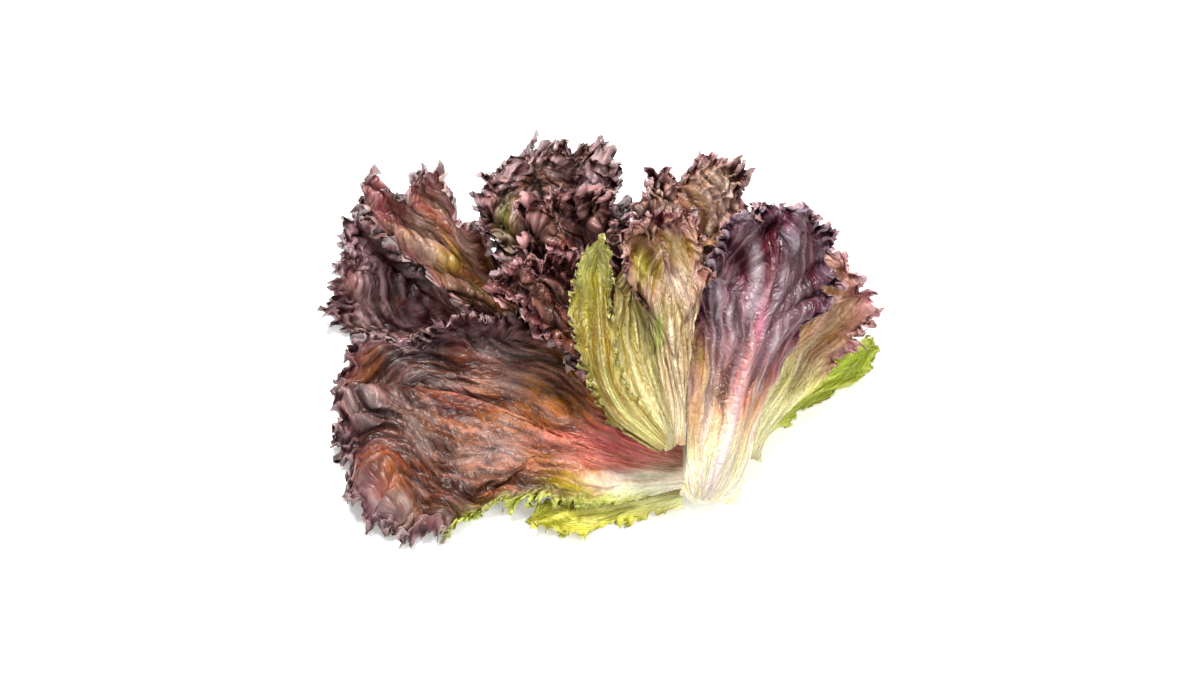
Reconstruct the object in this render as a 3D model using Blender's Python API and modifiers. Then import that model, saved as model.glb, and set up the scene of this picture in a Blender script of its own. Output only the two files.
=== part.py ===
"""Lollo rosso lettuce: a head cut from its root, lying on its side with its frilled leaves fanned out.

Sizes are in millimetres until a mesh is made. +Z is up, the table is z = 0, and headings are degrees
anticlockwise from +X, seen from above.
"""

import math
from dataclasses import dataclass

import bpy
import numpy as np
from mathutils.bvhtree import BVHTree

MM = 0.001
HEAD = "lollo_rosso"

# Driving dimensions of the leaves
MARGIN_THICK = 0.9
RIB_THICK = 2.8
RIB_HALF_WIDTH = 7.0
GAP = 0.5
TOOTH = 2.4
TOOTH_SHARE = 0.05
VEIN_LEAN = 0.16
FRILL_ROOM = 4.5
PRESSED = 0.25
DRAWN_BACK = 0.7
EASINGS = 30
FRILL_START = 0.45

# Driving dimensions of the cut stem
STEM_BUTT = (1.0, -9.0, 11.0)
STEM_RADII = (8.5, 11.0, 11.0, 9.0, 6.0)
STEM_STATIONS = (0.0, 2.0, 14.0, 28.0, 36.0)
STEM_HEADING = 97.0
STEM_SIDES = 24

# Where the middle of the head's box lies, so that it can be brought to the origin
HEAD_CENTRE = (-48.2, 60.1)

# The frill: each order of wave is finer, and starts nearer to the margin
WAVE_LENGTHS = (46.0, 19.0)
WAVE_DEPTHS = (42.0, 17.0)
WAVE_SWAY = (0.04, 0.06)

# A blade's rows from midrib to margin, each with the share of the margin's columns that it has
ROWS = ((0.0, 4), (0.16, 4), (0.36, 4), (0.56, 2), (0.74, 2), (0.88, 1), (1.0, 1))

# The pile's height grid, and the lattice that a leaf's lift is kept on
CELL = 2.5
GRID_LOW = (-230.0, -80.0)
GRID_CELLS = (160, 120)
LATTICE = (121, 41)


@dataclass
class Leaf:
    """A leaf by its foot, where it leaves the stem, its midrib from there, its left margin from the foot
    to the tip, and its right margin from the tip to the foot, as (x, y, z) points."""

    name: str
    foot: tuple
    width: float
    midrib: tuple
    left: tuple
    tip: tuple
    right: tuple
    frill: tuple
    columns: int
    seed: int
    colour: tuple


PURPLE = (0.060, 0.010, 0.018)
MAROON = (0.105, 0.022, 0.020)
OLIVE = (0.150, 0.120, 0.028)
GREEN = (0.260, 0.330, 0.030)
CREAM = (0.620, 0.560, 0.360)

LEAVES_UNDER_STEM = (
    Leaf(
        "leaf_left_lowest", (-17, -5, 4), 14,
        ((-31, -7, 3), (-47, -9, 3), (-62, -11, 4)),
        ((-27, -14, 2), (-38, -17, 2), (-50, -20, 2), (-58, -26, 2), (-70, -23, 2)),
        (-84, -17, 3),
        ((-74, -8, 5), (-55, -1, 6), (-31, 2, 6)),
        (2.5, 3.0), 48, 3, GREEN,
    ),
    Leaf(
        "leaf_right_green", (17, 4, 5), 10,
        ((25, 27, 5), (42, 46, 4), (61, 62, 3)),
        ((20, 24, 8), (34, 44, 12), (49, 59, 14), (63, 70, 15), (77, 80, 14)),
        (86, 79, 7),
        ((80, 68, 1), (67, 58, 0), (54, 48, 0), (40, 39, 0), (26, 25, 1)),
        (2.0, 3.0), 48, 5, GREEN,
    ),
    Leaf(
        "leaf_back_dark", (-17, 24, 8), 16,
        ((-69, 68, 5), (-111, 93, 6), (-142, 109, 12)),
        ((-50, 48, 3), (-107, 73, 1), (-144, 79, 1), (-169, 83, 3), (-181, 96, 12), (-179, 115, 22)),
        (-172, 131, 30),
        ((-160, 141, 38), (-142, 131, 40), (-126, 116, 34), (-107, 102, 24), (-69, 80, 14)),
        (8.0, 6.5), 80, 7, PURPLE,
    ),
    Leaf(
        "leaf_back_rolled", (-14, 30, 14), 14,
        ((-55, 62, 16), (-98, 88, 34), (-126, 108, 60)),
        (
            (-46, 42, 10), (-84, 66, 16), (-108, 80, 28), (-128, 92, 42), (-144, 100, 54),
            (-158, 110, 60), (-165, 125, 66), (-160, 136, 72),
        ),
        (-147, 119, 68),
        ((-133, 128, 80), (-119, 118, 74), (-106, 108, 62), (-90, 97, 44), (-56, 74, 24)),
        (8.0, 6.5), 72, 11, OLIVE,
    ),
    Leaf(
        "leaf_left_large", (-18, 2, 8), 18,
        ((-40, 11, 8), (-86, 33, 10), (-110, 44, 12), (-130, 48, 13)),
        (
            (-50, -10, 4), (-83, -10, 3), (-107, -15, 3), (-126, -25, 3), (-152, -24, 3),
            (-167, -1, 4), (-174, 25, 5),
        ),
        (-176, 53, 8),
        (
            (-168, 75, 12), (-144, 76, 18), (-126, 79, 26), (-107, 83, 30), (-78, 77, 32),
            (-54, 58, 30), (-33, 31, 24),
        ),
        (5.0, 3.0), 96, 13, MAROON,
    ),
    Leaf(
        "leaf_right_spread", (18, 11, 10), 16,
        ((24, 34, 16), (42, 64, 24), (56, 84, 30)),
        ((16, 38, 20), (30, 72, 30), (44, 98, 40), (59, 109, 46), (71, 100, 42)),
        (79, 86, 34),
        ((79, 77, 26), (70, 68, 20), (55, 52, 15), (38, 36, 12), (27, 20, 9)),
        (5.0, 5.5), 64, 17, MAROON,
    ),
    Leaf(
        "leaf_top_back", (-10, 29, 16), 18,
        ((-36, 47, 28), (-58, 84, 48), (-69, 110, 64)),
        ((-36, 31, 20), (-62, 54, 28), (-86, 80, 36), (-101, 99, 44), (-108, 117, 56), (-103, 134, 72)),
        (-83, 138, 86),
        ((-62, 136, 92), (-43, 128, 90), (-36, 112, 80), (-31, 82, 56), (-26, 46, 34)),
        (11.0, 8.0), 80, 19, PURPLE,
    ),
)

LEAVES_OVER_STEM = (
    Leaf(
        "leaf_heart_back", (-12, 36, 24), 10,
        ((-32, 47, 38), (-54, 71, 52), (-64, 90, 62)),
        ((-32, 36, 32), (-56, 54, 40), (-74, 72, 48), (-86, 88, 56), (-88, 103, 64), (-83, 114, 72)),
        (-69, 118, 78),
        ((-50, 115, 80), (-38, 101, 74), (-33, 82, 60), (-26, 60, 46), (-17, 46, 34)),
        (10.0, 8.0), 64, 29, PURPLE,
    ),
    Leaf(
        "leaf_heart_front", (-19, 29, 26), 9,
        ((-38, 34, 40), (-55, 49, 48), (-69, 65, 54)),
        (
            (-38, 24, 34), (-51, 33, 40), (-62, 47, 44), (-74, 58, 46),
            (-88, 66, 48), (-97, 72, 54), (-98, 83, 62),
        ),
        (-81, 87, 68),
        ((-62, 84, 68), (-50, 75, 62), (-43, 60, 54), (-30, 43, 42)),
        (10.0, 8.0), 64, 31, PURPLE,
    ),
    Leaf(
        "leaf_centre_top", (-10, 19, 30), 8,
        ((-10, 37, 46), (-11, 64, 66), (-10, 88, 84)),
        ((-15, 30, 40), (-20, 53, 56), (-28, 75, 74), (-34, 94, 86), (-31, 108, 94)),
        (-16, 115, 98),
        ((3, 120, 96), (18, 116, 90), (18, 106, 80), (8, 91, 70), (0, 68, 60), (-5, 42, 48)),
        (8.0, 7.0), 72, 43, OLIVE,
    ),
    Leaf(
        "leaf_right_large", (2, -18, 13), 28,
        ((7, 1, 32), (17, 34, 50), (27, 64, 64), (33, 83, 74)),
        ((-9, -6, 24), (-10, 23, 42), (-8, 50, 60), (-4, 70, 72), (6, 96, 82)),
        (30, 104, 88),
        ((52, 102, 80), (62, 93, 68), (55, 78, 54), (43, 56, 44), (31, 38, 36), (22, 15, 27)),
        (7.0, 6.5), 88, 23, MAROON,
    ),
    Leaf(
        "leaf_centre_cupped", (-22, 15, 28), 8,
        ((-25, 19, 40), (-32, 35, 58), (-35, 55, 70)),
        ((-27, 9, 38), (-37, 12, 50), (-44, 23, 60), (-46, 41, 70), (-44, 61, 78)),
        (-36, 73, 84),
        ((-24, 71, 82), (-19, 55, 70), (-17, 37, 54), (-17, 21, 40)),
        (2.0, 2.0), 48, 37, OLIVE,
    ),
    Leaf(
        "leaf_centre_green", (-26, 12, 32), 9,
        ((-35, 16, 38), (-44, 23, 47), (-49, 38, 62), (-51, 62, 77)),
        ((-33, 8, 36), (-47, 12, 45), (-56, 26, 55), (-62, 43, 66), (-63, 57, 76), (-59, 72, 86)),
        (-51, 77, 94),
        ((-45, 67, 93), (-44, 51, 80), (-43, 36, 68), (-39, 26, 55), (-31, 21, 44)),
        (2.0, 2.0), 48, 41, GREEN,
    ),
    Leaf(
        "leaf_centre_fan", (-17, 8, 38), 6,
        ((-14, 18, 52), (-17, 36, 72), (-19, 54, 86)),
        ((-19, 13, 46), (-22, 24, 58), (-26, 39, 70), (-32, 52, 82), (-37, 64, 92), (-39, 76, 100)),
        (-26, 84, 104),
        ((-10, 87, 102), (-1, 78, 95), (-2, 66, 86), (-5, 52, 75), (-8, 35, 65), (-12, 19, 52)),
        (7.0, 5.5), 64, 61, OLIVE,
    ),
)


def direction(heading):
    turn = math.radians(heading)
    return np.array([math.cos(turn), math.sin(turn), 0.0])


def smooth_curve(points, samples=96):
    """A Catmull-Rom curve through the points, evenly spaced along its length."""
    p = np.array(points, float)
    p = np.vstack([2 * p[0] - p[1], p, 2 * p[-1] - p[-2]])
    spans = len(p) - 3
    t = np.linspace(0, spans, samples * spans)
    i = np.minimum(t.astype(int), spans - 1)
    f = (t - i)[:, None]
    a, b, c, d = p[i], p[i + 1], p[i + 2], p[i + 3]
    curve = 0.5 * (
        2 * b
        + (c - a) * f
        + (2 * a - 5 * b + 4 * c - d) * f**2
        + (3 * b - a - 3 * c + d) * f**3
    )
    steps = np.linalg.norm(np.diff(curve, axis=0), axis=1)
    length = np.concatenate([[0], np.cumsum(steps)])
    even = np.linspace(0, length[-1], samples)
    return np.stack([np.interp(even, length, curve[:, k]) for k in range(3)], axis=1), length[-1]


def along(curve, share):
    """Points at these shares, 0 to 1, of an evenly spaced curve."""
    at = np.clip(share, 0, 1) * (len(curve) - 1)
    places = np.arange(len(curve))
    return np.stack([np.interp(at, places, curve[:, k]) for k in range(3)], axis=-1)


def unit(vectors):
    return vectors / np.maximum(np.linalg.norm(vectors, axis=-1, keepdims=True), 1e-9)


def smooth_step(x):
    x = np.clip(x, 0, 1)
    return x * x * (3 - 2 * x)


class Blade:
    """A leaf's middle surface. u runs along the margin, from -1 at the right of the foot, over the tip
    at 0, to 1 at the left of the foot. v runs along a vein, from 0 at the midrib to 1 at the margin."""

    def __init__(self, leaf):
        self.leaf = leaf
        foot = np.array(leaf.foot, float)
        ahead = np.array(leaf.midrib[0]) - foot
        side = unit(np.array([-ahead[1], ahead[0], 0.0])) * leaf.width / 2
        self.midrib, self.midrib_length = smooth_curve([foot, *leaf.midrib])
        self.left, self.left_length = smooth_curve([leaf.tip, *leaf.left[::-1], foot + side])
        self.right, self.right_length = smooth_curve([leaf.tip, *leaf.right, foot - side])

    def plain(self, u, v):
        """The blade without its waves, and how far the margin is from the midrib."""
        side = np.abs(u)
        rim = np.where((u > 0)[..., None], along(self.left, side), along(self.right, side))
        root = along(self.midrib, 1 - side)
        ahead = unit(along(self.midrib, 1.04 - side) - along(self.midrib, 0.96 - side))
        reach = np.linalg.norm(rim - root, axis=-1, keepdims=True)
        bend = (root + rim) / 2 + ahead * reach * VEIN_LEAN
        t = v[..., None]
        return (1 - t) ** 2 * root + 2 * t * (1 - t) * bend + t**2 * rim, reach[..., 0]

    def waved(self, u, v):
        """The blade with its frill."""
        here, reach = self.plain(u, v)
        step = 0.01
        after, _ = self.plain(np.minimum(u + step, 1), v)
        before, _ = self.plain(np.maximum(u - step, -1), v)
        inner, _ = self.plain(u, v - 0.03)
        outer, _ = self.plain(u, v + 0.03)
        across = unit(after - before)
        normal = unit(np.cross(unit(outer - inner), across))
        place = np.where(u > 0, u * self.left_length, u * self.right_length)
        inset = (1 - v) * reach
        fade = smooth_step((1 - np.abs(u)) / FRILL_START) * smooth_step(v * reach / 18)
        draw = np.random.default_rng(self.leaf.seed)
        moved = here
        for size, length, depth, sway in zip(self.leaf.frill, WAVE_LENGTHS, WAVE_DEPTHS, WAVE_SWAY):
            phase, drift = draw.uniform(0, 2 * math.pi, 2)
            turn = 2 * math.pi * place / length + phase
            turn = turn + 0.9 * np.sin(turn * 0.37 + drift)
            share = fade * np.exp(-((np.maximum(inset, 0) / depth) ** 1.5))
            share = share * np.minimum(1, reach / (FRILL_ROOM * size))
            share = share * (0.8 + 0.2 * np.sin(turn * 0.23))
            moved = moved + normal * (size * share * np.sin(turn))[..., None]
            moved = moved - across * (sway * length * share * np.sin(2 * turn) / 2)[..., None]
        return moved

    def toothed(self, u, v, tooth):
        """v with the margin's teeth."""
        _, reach = self.plain(u, v)
        return v + tooth * np.minimum(TOOTH / reach, TOOTH_SHARE) * smooth_step((1 - np.abs(u)) / 0.25)

    def thickness(self, u, v):
        """Thin at the margin, fleshy along the midrib and at the foot."""
        _, reach = self.plain(u, v)
        rib = np.exp(-((v * reach / RIB_HALF_WIDTH) ** 2)) * np.abs(u)
        return MARGIN_THICK + (RIB_THICK - MARGIN_THICK) * rib


def grid_of(columns, rows=ROWS):
    """A blade's points as u, v and tooth, which is 1 on a tooth and -1 between two, and its triangles:
    two halves that share the midrib and the tip's vein."""
    points, faces, index = [], [], {}
    counts = [columns // 2 // share for _, share in rows]

    def corner(row, place):
        key = (row, abs(place) if row == 0 else place)
        if key not in index:
            index[key] = len(points)
            at_margin = row == len(rows) - 1
            points.append((key[1] / counts[row], rows[row][0], at_margin * (-1) ** place))
        return index[key]

    def add(side, *corners):
        faces.append(corners if side > 0 else corners[::-1])

    for row, (inner, outer) in enumerate(zip(counts, counts[1:])):
        for side in (1, -1):
            for k in range(inner):
                a, b = corner(row, side * k), corner(row, side * (k + 1))
                if outer == inner:
                    d, c = corner(row + 1, side * k), corner(row + 1, side * (k + 1))
                    add(side, a, d, c)
                    add(side, a, c, b)
                else:
                    d, e, c = (corner(row + 1, side * (2 * k + n)) for n in range(3))
                    add(side, a, d, e)
                    add(side, a, e, b)
                    add(side, b, e, c)
    u, v, tooth = np.array(points).T
    return u, v, tooth, np.array(faces)


def blurred(field, passes):
    for _ in range(passes):
        padded = np.pad(field, 1, mode="edge")
        padded[1:-1, 0] = field[::-1, 1]
        around = padded[:-2, 1:-1] + padded[2:, 1:-1] + padded[1:-1, :-2] + padded[1:-1, 2:]
        field = (around + 2 * field) / 6
    return field


def widened(field, passes):
    for _ in range(passes):
        padded = np.pad(field, 1, mode="edge")
        field = np.maximum.reduce(
            [padded[:-2, 1:-1], padded[2:, 1:-1], padded[1:-1, :-2], padded[1:-1, 2:], field]
        )
    return field


def cells_of(points):
    i = ((points[..., 0] - GRID_LOW[0]) / CELL).astype(int)
    j = ((points[..., 1] - GRID_LOW[1]) / CELL).astype(int)
    return np.clip(i, 0, GRID_CELLS[0] - 1), np.clip(j, 0, GRID_CELLS[1] - 1)


def read_lift(lift, u, v):
    """The lift between the lattice's points."""
    x = (np.clip(u, -1, 1) + 1) / 2 * (LATTICE[0] - 1)
    y = np.clip(v, 0, 1) * (LATTICE[1] - 1)
    i = np.minimum(x.astype(int), LATTICE[0] - 2)
    j = np.minimum(y.astype(int), LATTICE[1] - 2)
    fx, fy = x - i, y - j
    return (
        lift[i, j] * (1 - fx) * (1 - fy)
        + lift[i + 1, j] * fx * (1 - fy)
        + lift[i, j + 1] * (1 - fx) * fy
        + lift[i + 1, j + 1] * fx * fy
    )


def raised(shape, lift):
    """The shape lifted, and drawn back towards the stem, because a leaf that climbs reaches less far."""
    return shape + lift[..., None] * np.array([0.0, -DRAWN_BACK, 1.0])


def shares_of_triangle(parts=6):
    """Even places within a triangle, as shares of its corners."""
    places = [(a, b, parts - a - b) for a in range(parts + 1) for b in range(parts + 1 - a)]
    return np.array(places) / parts


def settle(leaf, heights):
    """Lays the leaf on the pile. Gives its blade, its lift on the lattice, and its upper side's points."""
    blade = Blade(leaf)
    u, v, tooth, faces = grid_of(leaf.columns)
    v = blade.toothed(u, v, tooth)
    shape = blade.waved(u, v)
    half = blade.thickness(u, v) / 2
    shape[:, 2] = np.maximum(shape[:, 2], half)
    shares = shares_of_triangle()
    halves = np.einsum("sc,fc->fs", shares, half[faces])
    at_u = (np.einsum("sc,fc->fs", shares, u[faces]) + 1) / 2 * (LATTICE[0] - 1)
    at_v = np.einsum("sc,fc->fs", shares, v[faces]) * (LATTICE[1] - 1)
    at = (
        np.clip(np.rint(at_u).astype(int), 0, LATTICE[0] - 1).ravel(),
        np.clip(np.rint(at_v).astype(int), 0, LATTICE[1] - 1).ravel(),
    )
    ground = widened(heights, 1)
    lift = np.zeros(LATTICE)
    for _ in range(16):
        spots = np.einsum("sc,fcx->fsx", shares, raised(shape, read_lift(lift, u, v))[faces])
        below = ground[cells_of(spots)]
        need = np.where(below > 0, below + GAP + halves - spots[..., 2], 0)
        if need.max() < 0.05:
            break
        field = np.zeros(LATTICE)
        np.maximum.at(field, at, need.ravel())
        field[:, 0] = np.maximum(field[:, 0], field[::-1, 0])
        lift += blurred(widened(field, 2), 3)
    spots[..., 2] += halves
    return blade, lift, spots.reshape(-1, 3)


def stem_top():
    """The upper surface of the stem, as points."""
    ahead, side = direction(STEM_HEADING), direction(STEM_HEADING + 90)
    far = np.linspace(0, STEM_STATIONS[-1], 60)
    radius = np.interp(far, STEM_STATIONS, STEM_RADII)[:, None]
    across = np.linspace(-1, 1, 60)
    points = np.array(STEM_BUTT) + far[:, None, None] * ahead + (radius * across)[..., None] * side
    points[..., 2] += radius * np.sqrt(1 - across**2)
    return points.reshape(-1, 3)


def pile_up():
    """Each leaf's blade with its lift, laid one on another from the table up."""
    heights = np.zeros(GRID_CELLS)
    laid = []

    def cover(points):
        i, j = cells_of(points)
        np.maximum.at(heights, (i, j), points[:, 2])

    def lay(leaves):
        for leaf in leaves:
            blade, lift, spots = settle(leaf, heights)
            laid.append((leaf, blade, lift))
            cover(spots)

    lay(LEAVES_UNDER_STEM)
    cover(stem_top())
    lay(LEAVES_OVER_STEM)
    return laid


def in_row_frame(points):
    return (points - np.array([*HEAD_CENTRE, 0.0])) * MM


def material(name, colour, roughness):
    made = bpy.data.materials.new(name)
    made.use_nodes = True
    shader = made.node_tree.nodes["Principled BSDF"]
    shader.inputs["Base Color"].default_value = (*colour, 1.0)
    shader.inputs["Roughness"].default_value = roughness
    shader.inputs["Metallic"].default_value = 0.0
    return made


def solid_of(made):
    """The object's mesh with its modifiers applied, pressed flat where it meets the table."""
    solid = bpy.data.meshes.new_from_object(made.evaluated_get(bpy.context.evaluated_depsgraph_get()))
    for vertex in solid.vertices:
        if vertex.co.z < PRESSED * MM:
            vertex.co.z = 0.0
    return solid


def crossed_points(solid, count):
    """Points of the open blade, of which there are count, where the thickened blade crosses itself."""
    solid.calc_loop_triangles()
    corners = [tuple(triangle.vertices) for triangle in solid.loop_triangles]
    tree = BVHTree.FromPolygons([vertex.co for vertex in solid.vertices], corners)
    found = set()
    for first, second in tree.overlap(tree):
        if first < second and not set(corners[first]) & set(corners[second]):
            found.update(corners[first] + corners[second])
    return sorted({vertex % count for vertex in found})


def eased(shape, faces, chosen):
    """The shape with each chosen point moved halfway to the middle of its neighbours."""
    total, number = np.zeros_like(shape), np.zeros(len(shape))
    for a, b in ((0, 1), (1, 2), (2, 0)):
        for one, other in ((a, b), (b, a)):
            np.add.at(total, faces[:, one], shape[faces[:, other]])
            np.add.at(number, faces[:, one], 1)
    middle = total / number[:, None]
    moved = shape.copy()
    moved[chosen] = (shape[chosen] + middle[chosen]) / 2
    return moved


def add_leaf(parts, leaf, blade, lift):
    """A leaf: its open blade, given thickness by Solidify, and eased where its folds would cross."""
    u, v, tooth, faces = grid_of(leaf.columns)
    v = blade.toothed(u, v, tooth)
    thick = blade.thickness(u, v)
    shape = blade.waved(u, v)
    shape[:, 2] = np.maximum(shape[:, 2], thick / 2)
    shape = raised(shape, read_lift(lift, u, v))

    mesh = bpy.data.meshes.new(leaf.name)
    mesh.from_pydata(in_row_frame(shape).tolist(), [], faces.tolist())
    made = bpy.data.objects.new(leaf.name, mesh)
    parts.objects.link(made)
    flesh = made.vertex_groups.new(name="flesh")
    for vertex, share in enumerate((thick - MARGIN_THICK) / (RIB_THICK - MARGIN_THICK)):
        flesh.add([vertex], float(share), "REPLACE")
    shell = made.modifiers.new("Blade", "SOLIDIFY")
    shell.thickness = RIB_THICK * MM
    shell.offset = 0.0
    shell.vertex_group = flesh.name
    shell.thickness_vertex_group = MARGIN_THICK / RIB_THICK

    solid = solid_of(made)
    for _ in range(EASINGS):
        chosen = crossed_points(solid, len(shape))
        if not chosen:
            break
        shape = eased(shape, faces, chosen)
        mesh.vertices.foreach_set("co", in_row_frame(shape).ravel())
        mesh.update()
        bpy.data.meshes.remove(solid)
        solid = solid_of(made)
    made.modifiers.remove(shell)
    made.data = solid
    bpy.data.meshes.remove(mesh)
    solid.name = leaf.name
    solid.materials.append(material(leaf.name, leaf.colour, 0.4))
    solid.shade_smooth()


def add_stem(parts):
    """The cut stem: its profile turned about its axis, then laid down."""
    profile = [(0.0, STEM_STATIONS[0]), *zip(STEM_RADII, STEM_STATIONS), (0.0, STEM_STATIONS[-1])]
    mesh = bpy.data.meshes.new("stem")
    mesh.from_pydata(
        [(x * MM, 0.0, z * MM) for x, z in profile[::-1]],
        [(k, k + 1) for k in range(len(profile) - 1)],
        [],
    )
    made = bpy.data.objects.new("stem", mesh)
    parts.objects.link(made)
    turn = made.modifiers.new("Turn", "SCREW")
    turn.steps = turn.render_steps = STEM_SIDES
    turn.use_merge_vertices = True
    turn.merge_threshold = 0.0001
    made.rotation_euler = (math.radians(90), 0.0, math.radians(STEM_HEADING + 90))
    made.location = in_row_frame(np.array(STEM_BUTT))
    mesh.materials.append(material("stem", CREAM, 0.5))


def main():
    for old in list(bpy.data.objects):
        bpy.data.objects.remove(old, do_unlink=True)
    parts = bpy.data.collections.new(HEAD)
    bpy.context.scene.collection.children.link(parts)
    add_stem(parts)
    for leaf, blade, lift in pile_up():
        add_leaf(parts, leaf, blade, lift)
    bpy.context.view_layer.update()


main()
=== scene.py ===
"""The looks of the lollo rosso head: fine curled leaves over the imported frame, with light and a camera.

Sizes are in millimetres until a mesh is made, as in the frame's own leaves.
"""

import math
from dataclasses import dataclass
from types import SimpleNamespace

import bpy
import numpy as np
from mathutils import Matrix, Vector


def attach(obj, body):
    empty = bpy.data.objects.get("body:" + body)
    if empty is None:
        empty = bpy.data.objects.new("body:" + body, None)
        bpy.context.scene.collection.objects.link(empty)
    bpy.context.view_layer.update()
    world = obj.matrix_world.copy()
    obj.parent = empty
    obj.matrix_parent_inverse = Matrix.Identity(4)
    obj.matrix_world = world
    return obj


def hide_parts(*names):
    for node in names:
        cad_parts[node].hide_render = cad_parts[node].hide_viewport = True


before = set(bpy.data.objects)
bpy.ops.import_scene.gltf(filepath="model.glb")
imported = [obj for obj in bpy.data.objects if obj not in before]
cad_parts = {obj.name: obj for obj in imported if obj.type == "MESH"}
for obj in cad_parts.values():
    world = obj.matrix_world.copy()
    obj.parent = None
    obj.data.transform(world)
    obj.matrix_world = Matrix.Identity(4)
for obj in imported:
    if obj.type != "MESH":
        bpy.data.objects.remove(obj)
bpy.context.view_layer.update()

MM = 0.001

# Driving dimensions of the leaves
MARGIN_THICK = 0.9
RIB_THICK = 2.8
RIB_HALF_WIDTH = 7.0
GAP = 0.5
TOOTH = 2.4
TOOTH_SHARE = 0.05
VEIN_LEAN = 0.16
FRILL_ROOM = 4.5
DRAWN_BACK = 0.7
FRILL_START = 0.45

# Driving dimensions of the cut stem
STEM_BUTT = (1.0, -9.0, 11.0)
STEM_RADII = (8.5, 11.0, 11.0, 9.0, 6.0)
STEM_STATIONS = (0.0, 2.0, 14.0, 28.0, 36.0)
STEM_HEADING = 97.0
STEM_SAMPLES = 60

# Where the middle of the head's box lies, so that it can be brought to the origin
HEAD_CENTRE = (-48.2, 60.1)

# The frill: each order of wave is finer, and starts nearer to the margin
WAVE_LENGTHS = (46.0, 19.0)
WAVE_DEPTHS = (42.0, 17.0)
WAVE_SWAY = (0.04, 0.06)

# A blade's rows from midrib to margin, each with the share of the margin's columns that it has
ROWS = ((0.0, 4), (0.16, 4), (0.36, 4), (0.56, 2), (0.74, 2), (0.88, 1), (1.0, 1))

# The pile's height grid, and the lattice that a leaf's lift is kept on
CELL = 2.5
GRID_LOW = (-230.0, -80.0)
GRID_CELLS = (160, 120)
LATTICE = (121, 41)
SETTLE_PASSES = 16
SETTLED = 0.05


@dataclass
class Leaf:
    """A leaf by its foot, where it leaves the stem, its midrib from there, its left margin from the foot
    to the tip, and its right margin from the tip to the foot, as (x, y, z) points."""

    name: str
    foot: tuple
    width: float
    midrib: tuple
    left: tuple
    tip: tuple
    right: tuple
    frill: tuple
    columns: int
    seed: int


LEAVES_UNDER_STEM = (
    Leaf(
        "leaf_left_lowest", (-17, -5, 4), 14,
        ((-31, -7, 3), (-47, -9, 3), (-62, -11, 4)),
        ((-27, -14, 2), (-38, -17, 2), (-50, -20, 2), (-58, -26, 2), (-70, -23, 2)),
        (-84, -17, 3),
        ((-74, -8, 5), (-55, -1, 6), (-31, 2, 6)),
        (2.5, 3.0), 48, 3,
    ),
    Leaf(
        "leaf_right_green", (17, 4, 5), 10,
        ((25, 27, 5), (42, 46, 4), (61, 62, 3)),
        ((20, 24, 8), (34, 44, 12), (49, 59, 14), (63, 70, 15), (77, 80, 14)),
        (86, 79, 7),
        ((80, 68, 1), (67, 58, 0), (54, 48, 0), (40, 39, 0), (26, 25, 1)),
        (2.0, 3.0), 48, 5,
    ),
    Leaf(
        "leaf_back_dark", (-17, 24, 8), 16,
        ((-69, 68, 5), (-111, 93, 6), (-142, 109, 12)),
        ((-50, 48, 3), (-107, 73, 1), (-144, 79, 1), (-169, 83, 3), (-181, 96, 12), (-179, 115, 22)),
        (-172, 131, 30),
        ((-160, 141, 38), (-142, 131, 40), (-126, 116, 34), (-107, 102, 24), (-69, 80, 14)),
        (8.0, 6.5), 80, 7,
    ),
    Leaf(
        "leaf_back_rolled", (-14, 30, 14), 14,
        ((-55, 62, 16), (-98, 88, 34), (-126, 108, 60)),
        (
            (-46, 42, 10), (-84, 66, 16), (-108, 80, 28), (-128, 92, 42), (-144, 100, 54),
            (-158, 110, 60), (-165, 125, 66), (-160, 136, 72),
        ),
        (-147, 119, 68),
        ((-133, 128, 80), (-119, 118, 74), (-106, 108, 62), (-90, 97, 44), (-56, 74, 24)),
        (8.0, 6.5), 72, 11,
    ),
    Leaf(
        "leaf_left_large", (-18, 2, 8), 18,
        ((-40, 11, 8), (-86, 33, 10), (-110, 44, 12), (-130, 48, 13)),
        (
            (-50, -10, 4), (-83, -10, 3), (-107, -15, 3), (-126, -25, 3), (-152, -24, 3),
            (-167, -1, 4), (-174, 25, 5),
        ),
        (-176, 53, 8),
        (
            (-168, 75, 12), (-144, 76, 18), (-126, 79, 26), (-107, 83, 30), (-78, 77, 32),
            (-54, 58, 30), (-33, 31, 24),
        ),
        (5.0, 3.0), 96, 13,
    ),
    Leaf(
        "leaf_right_spread", (18, 11, 10), 16,
        ((24, 34, 16), (42, 64, 24), (56, 84, 30)),
        ((16, 38, 20), (30, 72, 30), (44, 98, 40), (59, 109, 46), (71, 100, 42)),
        (79, 86, 34),
        ((79, 77, 26), (70, 68, 20), (55, 52, 15), (38, 36, 12), (27, 20, 9)),
        (5.0, 5.5), 64, 17,
    ),
    Leaf(
        "leaf_top_back", (-10, 29, 16), 18,
        ((-36, 47, 28), (-58, 84, 48), (-69, 110, 64)),
        ((-36, 31, 20), (-62, 54, 28), (-86, 80, 36), (-101, 99, 44), (-108, 117, 56), (-103, 134, 72)),
        (-83, 138, 86),
        ((-62, 136, 92), (-43, 128, 90), (-36, 112, 80), (-31, 82, 56), (-26, 46, 34)),
        (11.0, 8.0), 80, 19,
    ),
)

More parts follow.
